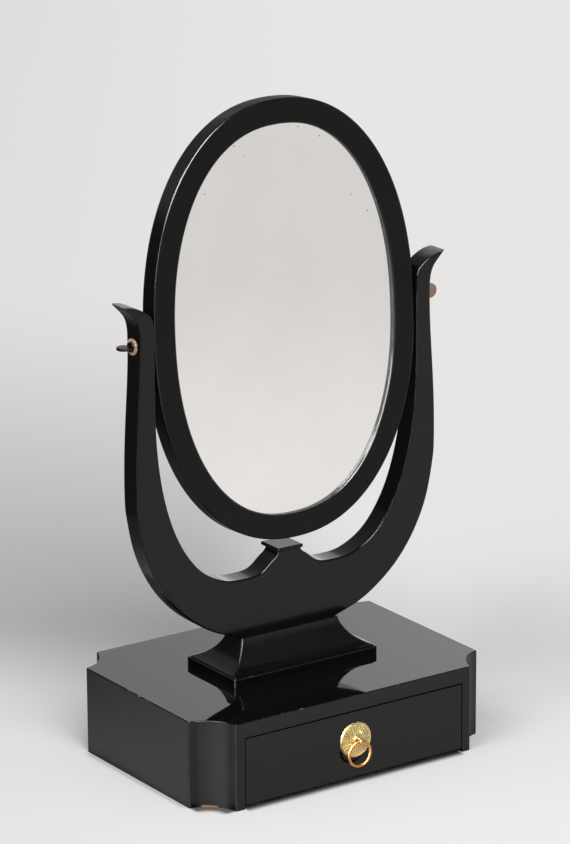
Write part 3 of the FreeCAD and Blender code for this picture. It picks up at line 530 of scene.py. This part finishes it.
# Light and dark of the woods, and the directions of their grain
NEW_PINE = (0.50, 0.33, 0.18), (0.30, 0.18, 0.09)
OLD_PINE = (0.34, 0.21, 0.11), (0.20, 0.115, 0.055)
GRAIN_ACROSS = (0.05, 1, 1)
GRAIN_DEEP = (1, 0.05, 1)
GRAIN_UPRIGHT = (1, 1, 0.05)
WOOD_ALONG = bare_wood("bare_wood_along", GRAIN_ACROSS, *NEW_PINE)
WOOD_BOTTOM = bare_wood("bare_wood_bottom", GRAIN_ACROSS, *OLD_PINE, shaded_front=True)
WOOD_DEEP = bare_wood("bare_wood_deep", GRAIN_DEEP, *NEW_PINE)
WOOD_TALL = bare_wood("bare_wood_tall", GRAIN_UPRIGHT, *OLD_PINE)

SILVER = old_mirror("silvered_glass")
ROSETTE = metal(
    "rosette_brass", bright=(0.66, 0.52, 0.24), dull=(0.42, 0.34, 0.12), gloss=(0.30, 0.44), dirt_and_shade=flute_dirt_and_hole_shade)
RING = metal("ring_brass", bright=(0.58, 0.29, 0.10), dull=(0.32, 0.155, 0.05), gloss=(0.34, 0.48))
BRONZE = metal("brown_bronze", bright=(0.34, 0.23, 0.175), dull=(0.16, 0.10, 0.07), gloss=(0.3, 0.45))
# Painted shade: the left thumbscrew's bronze, made darker than the right one's
SHADED_BRONZE = metal(
    "shaded_bronze", bright=(0.040, 0.029, 0.028), dull=(0.016, 0.012, 0.011), gloss=(0.36, 0.52))
WASHER = metal(
    "washer_copper", bright=(0.88, 0.63, 0.48), dull=(0.56, 0.37, 0.25), gloss=(0.34, 0.5), metallic=0.35)
STAPLE = metal("staple_brass", bright=(0.55, 0.36, 0.17), dull=(0.24, 0.14, 0.06), gloss=(0.34, 0.5))
STEEL = metal("steel", bright=(0.55, 0.55, 0.55), dull=(0.30, 0.28, 0.26), gloss=(0.25, 0.45))

# What dresses each material slot, and the pieces that are dressed otherwise
SLOT_DRESS = {
    "black_lacquer": CASE, "bare_wood": WOOD_ALONG, "silvered_glass": SILVER, "rosette_brass": ROSETTE,
    "ring_brass": RING, "brown_bronze": BRONZE, "steel": STEEL}
SPECIAL_DRESS = (
    (TOP, ("top_panel",)),
    (POST, ("corner_post_front_left", "corner_post_front_right", "corner_post_back_left",
            "corner_post_back_right")),
    (PLINTH, ("pedestal_plinth",)),
    (COVE, ("pedestal_block",)),
    (YOKE, ("yoke_crescent", "yoke_cap", "yoke_arm_left", "yoke_arm_right")),
    (OVAL, ("mirror_frame",)),
    (WOOD_TALL, ("backing_board",)),
    (WOOD_BOTTOM, ("bottom_board",)),
    (WOOD_DEEP, ("drawer_side_left", "drawer_side_right", "drawer_guide_left", "drawer_guide_right",
                 "drawer_kicker_left", "drawer_kicker_right")),
    (SHADED_BRONZE, ("thumbscrew_left",)),
    (WASHER, ("washer_left", "washer_right")),
    (STAPLE, ("pull_staple",)))


def dress():
    """Gives each piece its material."""
    special = {name: look for look, names in SPECIAL_DRESS for name in names}
    for part in frame["record"]["subparts"]:
        mesh = nodes[part["node"]].data
        mesh.materials.clear()
        mesh.materials.append(special.get(part["node"], SLOT_DRESS[part["material_slot"]]))


# The brass plate behind the ring

def ease(value, start, end):
    """A soft step from 0 at the start to 1 at the end, which may be the smaller of them."""
    share = min(max((value - start) / (end - start), 0.0), 1.0)
    return share * share * (3 - 2 * share)


def dome(share, turn):
    """Height of the plate, as a share of its rise, at a share of its radius and an angle."""
    skirt = RIM_HEIGHT
    if share < FLUTE_END:
        skirt += DISH_HEIGHT * (1 - (share / FLUTE_END) ** 1.5)
    boss = BOSS_HEIGHT * ease(share, *BOSS_SLOPE)
    crater = -CRATER_DEPTH * ease(share, *CRATER_SLOPE)
    bead = BEAD_HEIGHT * math.sin(math.pi * ease(share, FLUTE_END, 1.0))
    fluted = ease(share, FLUTE_START, FLUTE_START + 0.12) * ease(share, FLUTE_END, FLUTE_END - 0.08)
    groove = -FLUTE_DEPTH * fluted * (0.5 + 0.5 * math.cos(FLUTES * turn)) ** 0.8
    return (skirt + boss + crater + bead + groove) * ease(share, *EDGE_SLOPE)


def rosette():
    """A fluted dome with a beaded rim, in place of the plainer CAD plate."""
    low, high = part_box("pull_rosette")
    middle_x, _, middle_z = middle((low, high))
    radius = (high[0] - low[0]) / 2
    rise = high[1] - low[1]
    around = FLUTES * STEPS_PER_FLUTE
    points = [(middle_x, high[1] - rise * dome(0, 0), middle_z)]
    for ring in range(1, RINGS + 1):
        share = math.sin(0.5 * math.pi * ring / RINGS)
        for step in range(around):
            turn = 2 * math.pi * step / around
            points.append((
                middle_x + radius * share * math.cos(turn), high[1] - rise * dome(share, turn),
                middle_z + radius * share * math.sin(turn)))
    faces = []
    for step in range(around):
        after = (step + 1) % around
        faces.append((0, 1 + step, 1 + after))
        for ring in range(RINGS - 1):
            inner = 1 + ring * around
            outer = inner + around
            faces.append((inner + step, outer + step, outer + after, inner + after))
    mesh = bpy.data.meshes.new("rosette")
    mesh.from_pydata(points, [], faces)
    mesh.shade_smooth()
    mesh.materials.append(ROSETTE)
    made = add_object("rosette", mesh)
    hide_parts("pull_rosette")
    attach(made, "drawer")


# Stage: a pale floor with painted shadows and painted light, broad lamps, a dark sheet at the left that only
# reflections show, as painted shade in them, and a pale surround

# Half the floor's size, its colour, and its brightness at the left and right, where painted shade makes the
# left darker
FLOOR_REACH = 30.0
FLOOR_COLOR = (0.95, 0.935, 0.93)
FLOOR_SIDES = (0.84, 0.91)

# Painted shadows of the object on the floor behind it: where each one rises and falls across the
# picture, and again away from the camera, and its strength
PAINTED_SHADOWS = (
    ((-1.6, -0.6), (-0.12, 0.08), (0.13, 0.40), (0.5, 1.85), 0.33),
    ((0.06, 0.3), (0.6, 1.0), (0.0, 0.26), (0.3, 0.65), 0.12))

# How much painted light brightens the floor close to the camera, and how much painted shade dims it far out
# at the right
CLOSE_PAINTED_LIGHT = 0.11
FAR_RIGHT_PAINTED_SHADE = 0.18

# Strength of the painted shadow beside the box's left wall, under the drawer and in the front left scoop
WALL_SHADE = 0.27
DRAWER_SHADE = 0.95
SCOOP_SHADE = 0.9

# Lamps that light the object: name, azimuth, elevation, strength and breadth
SUNS = (("key", -15, 50, 1.9, 35), ("side", -77, 50, 1.0, 35))

# Lamps that shine back from the lacquer: left, right, lowest and highest angle, and strength
LAMPS = ((-40, 4, 20, 62, 22.0), (-84, -60, 0, 48, 40.0))
LAMP_SOFT = 4

# Brightness of what the lacquer and the glass mirror: the paper behind at the left and right, the share of it
# that is left higher up, and the room near the floor and above
PAPER = (0.88, 1.26)
UPPER_PAPER = 0.27
ROOM = (0.5, 0.13)

# Brightness of what is seen past the floor, and of the even glow on the object
BACKGROUND = 0.76
FILL = 0.22
SKY_COLOR = (1, 0.985, 0.98, 1)

# Colour of the dark sheet, a painted shade that only reflections show
REFLECTED_SHADE_COLOR = (0.14, 0.14, 0.14, 1)


def contact_shade(tree, place):
    """Painted shadows: dark lines painted on the floor where the box stands."""
    spot = split(tree, place)
    low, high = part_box("side_panel_left")
    wall = product(
        tree, band(tree, spot["X"], (low[0] - 0.008, low[0] - 0.003), (low[0], high[0])),
        band(tree, spot["Y"], (low[1] - 0.01, low[1]), (high[1], high[1] + 0.01)), WALL_SHADE)
    low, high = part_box("drawer_front")
    drawer = product(
        tree, band(tree, spot["X"], (low[0] - 0.002, low[0] + 0.002), (high[0] - 0.002, high[0] + 0.002)),
        band(tree, spot["Y"], (low[1] - 0.010, low[1] + 0.001), (high[1], high[1] + 0.01)), DRAWER_SHADE)
    low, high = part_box("corner_post_front_left")
    mouth = near(tree, place, (low[0], low[1], 0), 0.016, 0.027)
    scoop = product(
        tree, math_node(tree, "SUBTRACT", 1.0, mouth),
        band(tree, spot["X"], (low[0] - 0.002, low[0] + 0.004), (high[0] - 0.001, high[0])),
        band(tree, spot["Y"], (low[1] - 0.002, low[1] + 0.004), (high[1] - 0.001, high[1])), SCOOP_SHADE)
    return total(tree, wall, drawer, scoop)


def floor():
    mesh = bpy.data.meshes.new("floor")
    corners = []
    for x, y in ((-1, -1), (1, -1), (1, 1), (-1, 1)):
        corners.append((x * FLOOR_REACH, y * FLOOR_REACH, 0))
    mesh.from_pydata(corners, [], [(0, 1, 2, 3)])
    made = add_object("floor", mesh)
    paper, tree, shader = material("paper")
    place = put(tree, "ShaderNodeTexCoord").outputs["Object"]
    deep = vector_node(tree, "DOT_PRODUCT", place, REAR)
    across = vector_node(tree, "DOT_PRODUCT", place, ASIDE)
    # Painted shadows: the shadows behind the object and where it stands darken the floor's colour
    shades = []
    for left, right, front, back, strength in PAINTED_SHADOWS:
        shades.append(product(tree, band(tree, across, left, right), band(tree, deep, front, back), strength))
    shade = total(tree, *shades, contact_shade(tree, place))
    # Painted shade far out at the right and painted light close to the camera
    far_right = product(
        tree, spread(tree, across, 1.1, 3.2, 0.0, FAR_RIGHT_PAINTED_SHADE), fading(tree, deep, -0.1, 0.2))
    glow = product(
        tree, spread(tree, deep, -0.3, 0.12, CLOSE_PAINTED_LIGHT, 0.0), spread(tree, across, -0.5, 0.2, 0.4, 1.0))
    lit = math_node(tree, "SUBTRACT", 1.0, math_node(tree, "ADD", shade, far_right))
    lit = product(tree, math_node(tree, "ADD", lit, glow), spread(tree, across, -0.6, 0.1, *FLOOR_SIDES))
    color = blend_colors(tree, lit, (0, 0, 0), FLOOR_COLOR)
    feed(tree, shader, color=color, roughness=0.9, level=0.0)
    mesh.materials.append(paper)


def sun(name, azimuth, elevation, strength, breadth):
    """A broad lamp for the light that falls on the object. What mirrors it sees the surround's lamps."""
    lamp = bpy.data.lights.new(name, "SUN")
    lamp.energy = strength
    lamp.angle = math.radians(breadth)
    made = add_object(name, lamp)
    made.rotation_mode = "QUATERNION"
    made.rotation_quaternion = towards(azimuth, elevation).to_track_quat("Z", "Y")
    made.visible_glossy = False


def between(tree, angle, low, high):
    """1 between two angles given in degrees, with soft ends."""
    low, high, soft = math.radians(low), math.radians(high), math.radians(LAMP_SOFT)
    return band(tree, angle, (low, low + soft), (high - soft, high))


def surround():
    """Paper behind, lamps and a dark room for what mirrors them, and an even glow for the rest."""
    world = bpy.data.worlds.new("studio")
    bpy.context.scene.world = world
    world.use_nodes = True
    tree = world.node_tree
    tree.nodes.clear()
    path = put(tree, "ShaderNodeLightPath").outputs
    direction = put(tree, "ShaderNodeTexCoord").outputs["Generated"]
    rear = vector_node(tree, "DOT_PRODUCT", direction, REAR)
    aside = vector_node(tree, "DOT_PRODUCT", direction, ASIDE)
    parts = split(tree, direction)
    height = parts["Z"]
    paper = product(
        tree, spread(tree, rear, 0.2, 0.75), spread(tree, height, 0.36, 0.41, 1.0, UPPER_PAPER),
        fading(tree, height, 0.55, 0.8), spread(tree, aside, -0.06, 0.06, *PAPER))
    room = math_node(tree, "ADD", paper, spread(tree, height, 0.08, 0.4, *ROOM))
    azimuth = math_node(tree, "ARCTAN2", parts["X"], math_node(tree, "MULTIPLY", parts["Y"], -1.0))
    elevation = math_node(tree, "ARCSINE", height)
    for left, right, low, high, strength in LAMPS:
        lamp = product(
            tree, between(tree, azimuth, left, right), between(tree, elevation, low, high), strength)
        room = math_node(tree, "ADD", room, lamp)
    first = math_node(tree, "LESS_THAN", path["Diffuse Depth"], 0.5)
    mirrored = product(tree, path["Is Glossy Ray"], first, room)
    straight = product(tree, total(tree, path["Is Camera Ray"], path["Is Transmission Ray"]), BACKGROUND)
    fill = product(tree, path["Is Diffuse Ray"], FILL)
    shown = math_node(tree, "ADD", math_node(tree, "ADD", mirrored, straight), fill)
    sky = put(tree, "ShaderNodeBackground", {"Color": SKY_COLOR, "Strength": shown})
    output = put(tree, "ShaderNodeOutputWorld")
    tree.links.new(sky.outputs["Background"], output.inputs["Surface"])


def reflection_shade():
    """A dark sheet that shows in the lacquer alone, as painted shade in its reflections of the room at the
    left and of the floor behind. It hangs at the left and lies on the floor behind.
    """
    left, right, front, back, foot, top = -0.45, 0.3, -0.3, 1.8, 0.001, 0.78
    lying_front = 0.0
    mesh = bpy.data.meshes.new("reflection_shade")
    points = [
        (left, front, foot), (left, back, foot), (left, back, top), (left, front, top),
        (left, lying_front, foot), (right, lying_front, foot), (right, back, foot)]
    mesh.from_pydata(points, [], [(0, 1, 2, 3), (4, 5, 6, 1)])
    made = add_object("reflection_shade", mesh)
    shade_sheet, tree, shader = material("reflected_shade_sheet")
    place = split(tree, position(tree))
    cover = product(
        tree, band(tree, place["Y"], (front, front + 0.25), (back - 0.5, back)),
        fading(tree, place["Z"], top - 0.12, top), fading(tree, place["X"], 0.0, right),
        total(tree, spread(tree, place["Y"], lying_front, 0.5), spread(tree, place["Z"], 0.01, 0.06),
              spread(tree, place["X"], -0.20, -0.14)))
    feed(tree, shader, color=REFLECTED_SHADE_COLOR, roughness=1.0, level=0.0, alpha=cover)
    mesh.materials.append(shade_sheet)
    made.visible_camera = False
    made.visible_diffuse = False
    made.visible_shadow = False


def camera():
    data = bpy.data.cameras.new("camera")
    data.sensor_width = SENSOR
    data.lens = LENS
    data.clip_start = 0.1
    data.clip_end = 100.0
    made = add_object("camera", data)
    back = towards(AZIMUTH, ELEVATION)
    right = (-back).cross(Vector((0, 0, 1))).normalized()
    up = back.cross(right)
    upright = Matrix((right, up, back)).transposed()
    rolled = upright @ Matrix.Rotation(-math.radians(ROLL), 3, "Z")
    made.matrix_world = Matrix.Translation(EYE) @ rolled.to_4x4()
    bpy.context.scene.camera = made


dress()
rosette()
floor()
for lamp_settings in SUNS:
    sun(*lamp_settings)
surround()
reflection_shade()
camera()
bpy.context.scene.view_settings.view_transform = "Standard"
